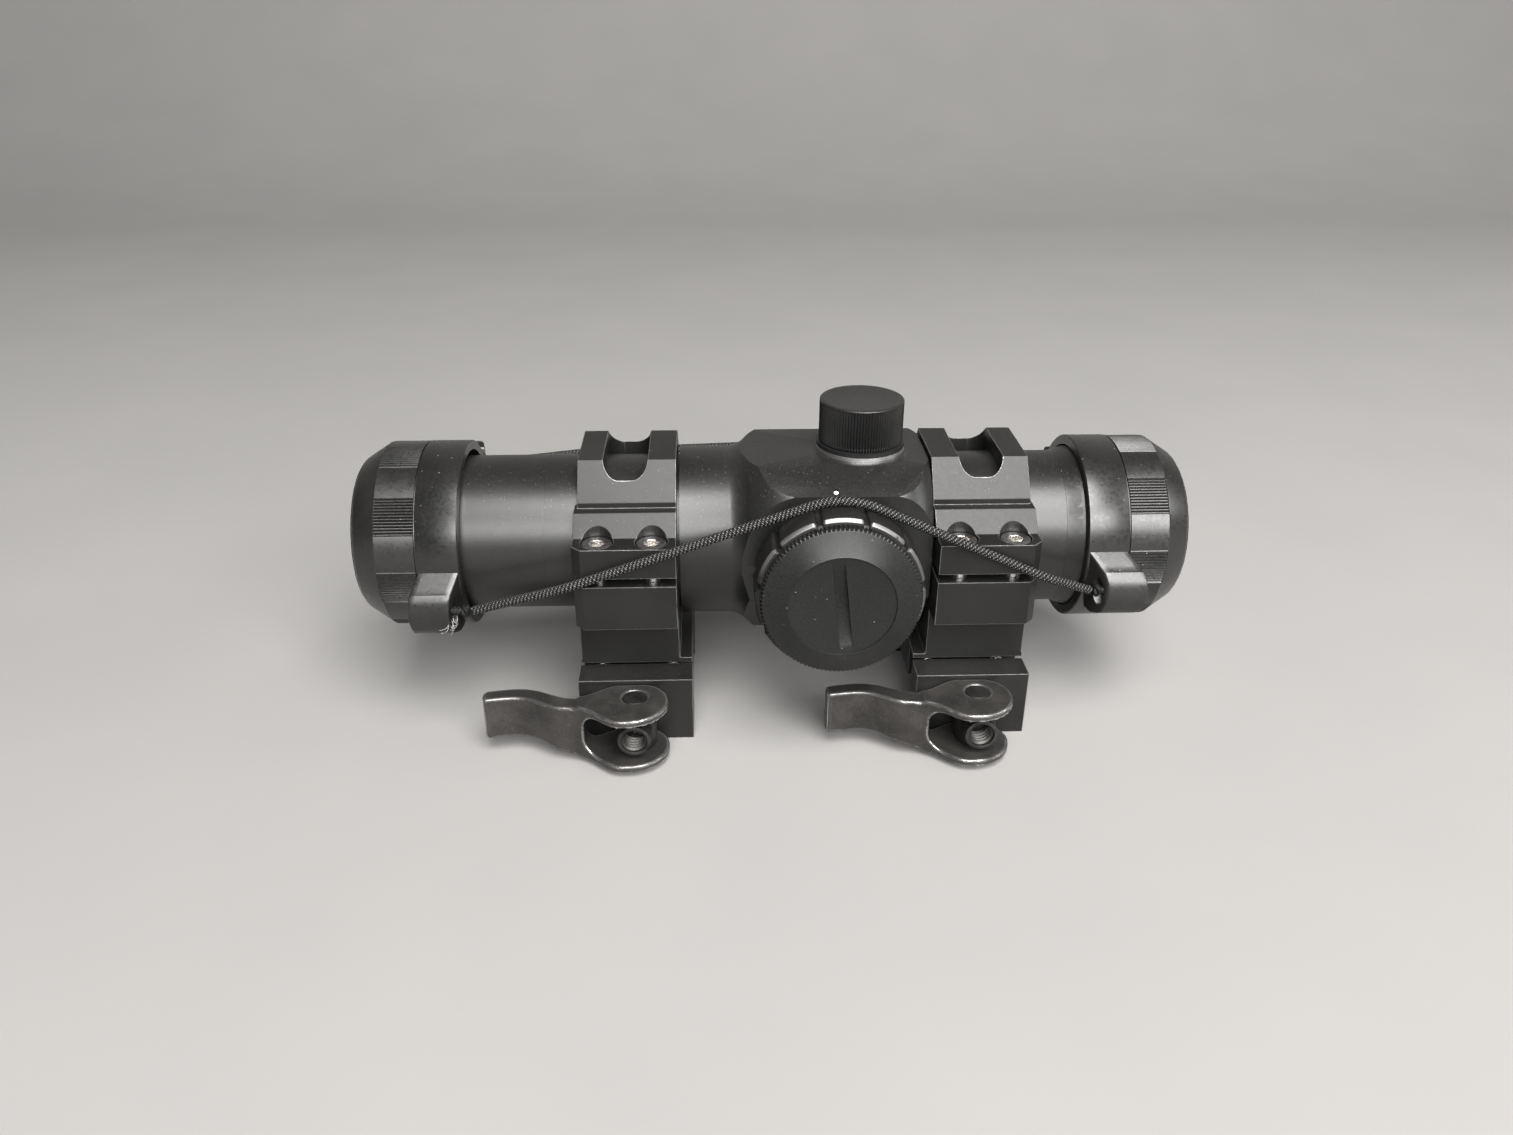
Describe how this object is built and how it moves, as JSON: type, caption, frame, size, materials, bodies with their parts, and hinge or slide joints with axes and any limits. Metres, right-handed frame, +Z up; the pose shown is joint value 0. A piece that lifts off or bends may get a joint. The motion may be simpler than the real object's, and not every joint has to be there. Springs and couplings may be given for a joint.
{
  "type": "tube sight with rail rings and lens covers",
  "caption": "Tube-type dot sight with turret and dial, held in split rings with cam-lever rail clamps, and corded lens covers over both ends.",
  "frame": {"origin": "on the rail's top plane, on the rail's centre line, midway between the two rings", "axes": "+X along the tube towards the eyepiece, +Z up from the rail through the elevation turret, -Y towards the levers and the brightness dial"},
  "size_m": [0.1577, 0.0627, 0.0611],
  "materials": {
    "black_anodised": "satin black hard anodised, fine bead-blasted grain",
    "ring_anodised": "satin black anodised, bright worn edges",
    "jaw_anodised": "satin black anodised, bright worn edges",
    "phosphated_steel": "dark brown-grey phosphate on cast steel, rims worn bright",
    "bare_steel": "machined, lightly oiled",
    "spring_steel": "drawn wire, oiled",
    "silver_ring": "bare machined aluminium",
    "brass_part": "turned",
    "cover_plastic": "moulded semi-gloss black, light mottle",
    "smoked_window": "smoked clear plastic",
    "optic_glass": "clear, coated",
    "ruby_glass": "red-reflecting coating",
    "braided_cord": "tight black braid with a grey tracer",
    "knot_cord": "tight black braid, frayed at the ends",
    "seal_rubber": "matte black",
    "knob_plastic": "fine matte black",
    "board_green": "solder-masked glass board",
    "led_body": "clear red dome"
  },
  "bodies": {
    "sight": {"main_tube": "black_anodised", "objective_cell": "black_anodised", "eyepiece_cell": "black_anodised", "objective_window": "optic_glass", "eyepiece_window": "optic_glass", "objective_retainer": "black_anodised", "eyepiece_retainer": "black_anodised", "tube_seals": "seal_rubber", "pitch_pins": "bare_steel", "return_spring": "spring_steel", "turret_clips": "spring_steel", "turret_seals": "seal_rubber", "elevation_bushing": "silver_ring", "windage_bushing": "silver_ring", "switch_board": "board_green", "detent_ball": "bare_steel", "detent_spring": "spring_steel", "rear_ring_base": "ring_anodised", "rear_ring_cap": "ring_anodised", "front_ring_base": "ring_anodised", "front_ring_cap": "ring_anodised", "ring_screws": "bare_steel", "jaw_springs": "spring_steel", "cross_bolts": "bare_steel", "barrel_nuts": "bare_steel", "near_cord_front": "braided_cord", "near_cord_rear": "braided_cord", "far_cord_front": "braided_cord", "far_cord_rear": "braided_cord"},
    "gimbal": {"gimbal_ring": "silver_ring", "yaw_pins": "bare_steel"},
    "erector": {"erector_tube": "black_anodised", "reflector_lens": "ruby_glass", "reflector_retainer": "black_anodised", "led_bracket": "black_anodised", "led_emitter": "led_body"},
    "elevation_adjuster": {"elevation_screw": "brass_part"},
    "elevation_follower": {"elevation_plunger": "bare_steel"},
    "windage_adjuster": {"windage_screw": "brass_part"},
    "windage_follower": {"windage_plunger": "bare_steel"},
    "elevation_cover": {"elevation_cap": "black_anodised"},
    "windage_cover": {"windage_cap": "black_anodised"},
    "dial": {"brightness_dial": "black_anodised", "coin_cell": "bare_steel", "battery_spring": "brass_part"},
    "battery_lid": {"battery_cap": "knob_plastic", "battery_seal": "seal_rubber"},
    "front_jaw": {"front_clamp_jaw": "jaw_anodised"},
    "rear_jaw": {"rear_clamp_jaw": "jaw_anodised"},
    "front_cam_lever": {"front_lever": "phosphated_steel"},
    "rear_cam_lever": {"rear_lever": "phosphated_steel"},
    "front_lens_cover": {"front_cover": "cover_plastic", "front_cover_window": "smoked_window", "front_cord_knots": "knot_cord"},
    "rear_lens_cover": {"rear_cover": "cover_plastic", "rear_cover_window": "smoked_window", "rear_cord_knots": "knot_cord"}
  },
  "joints": [
    {"name": "front_lever_turn", "type": "hinge", "parent": "sight", "child": "front_cam_lever", "pos_m": [-0.0322, -0.0274, -0.0006], "axis": [0, 0, 1], "range_deg": [0, 180]},
    {"name": "front_jaw_slide", "type": "slide", "parent": "sight", "child": "front_jaw", "axis": [0, 1, 0], "range_m": [0, 0.004]},
    {"name": "rear_lever_turn", "type": "hinge", "parent": "sight", "child": "rear_cam_lever", "pos_m": [0.0322, -0.0274, -0.0006], "axis": [0, 0, 1], "range_deg": [0, 180]},
    {"name": "rear_jaw_slide", "type": "slide", "parent": "sight", "child": "rear_jaw", "axis": [0, 1, 0], "range_m": [0, 0.004], "deforming": ["jaw_springs"]},
    {"name": "brightness_turn", "type": "hinge", "parent": "sight", "child": "dial", "pos_m": [0.0053, -0.025, 0.0267], "axis": [0, -1, 0], "range_deg": [0, 327.27]},
    {"name": "battery_lid_off", "type": "slide", "parent": "dial", "child": "battery_lid", "axis": [0, -1, 0], "range_m": [0, 0.01]},
    {"name": "elevation_cap_off", "type": "slide", "parent": "sight", "child": "elevation_cover", "axis": [0, 0, 1], "range_m": [0, 0.014]},
    {"name": "windage_cap_off", "type": "slide", "parent": "sight", "child": "windage_cover", "axis": [0, 1, 0], "range_m": [0, 0.014]},
    {"name": "elevation_turn", "type": "hinge", "parent": "sight", "child": "elevation_adjuster", "pos_m": [0.0114, 0, 0.048], "axis": [0, 0, 1], "range_deg": [-540.05, 540.05]},
    {"name": "elevation_travel", "type": "slide", "parent": "sight", "child": "elevation_follower", "axis": [0, 0, 1], "range_m": [-0.00075, 0.00075]},
    {"name": "erector_pitch", "type": "hinge", "parent": "sight", "child": "gimbal", "pos_m": [-0.038, 0, 0.0267], "axis": [0, 1, 0], "range_deg": [-0.88, 0.88], "deforming": ["return_spring"]},
    {"name": "windage_turn", "type": "hinge", "parent": "sight", "child": "windage_adjuster", "pos_m": [0.0114, 0.021, 0.0267], "axis": [0, 1, 0], "range_deg": [-540.05, 540.05]},
    {"name": "windage_travel", "type": "slide", "parent": "sight", "child": "windage_follower", "axis": [0, 1, 0], "range_m": [-0.00075, 0.00075]},
    {"name": "erector_yaw", "type": "hinge", "parent": "gimbal", "child": "erector", "pos_m": [-0.038, 0, 0.0267], "axis": [0, 0, 1], "range_deg": [-0.88, 0.88]},
    {"name": "front_cover_pull", "type": "slide", "parent": "sight", "child": "front_lens_cover", "axis": [-1, 0, 0], "range_m": [0, 0.02], "deforming": ["near_cord_front", "far_cord_front"]},
    {"name": "rear_cover_pull", "type": "slide", "parent": "sight", "child": "rear_lens_cover", "axis": [1, 0, 0], "range_m": [0, 0.02], "deforming": ["near_cord_rear", "far_cord_rear"]}
  ],
  "couplings": [
    {"joint": "front_jaw_slide", "follows": "front_lever_turn", "m_per_rad": 0.0012732},
    {"joint": "rear_jaw_slide", "follows": "rear_lever_turn", "m_per_rad": 0.0012732},
    {"joint": "elevation_turn", "follows": "elevation_travel", "rad_per_m": 12566},
    {"joint": "erector_pitch", "follows": "elevation_travel", "rad_per_m": -20.243},
    {"joint": "windage_turn", "follows": "windage_travel", "rad_per_m": 12566},
    {"joint": "erector_yaw", "follows": "windage_travel", "rad_per_m": 20.243}
  ]
}
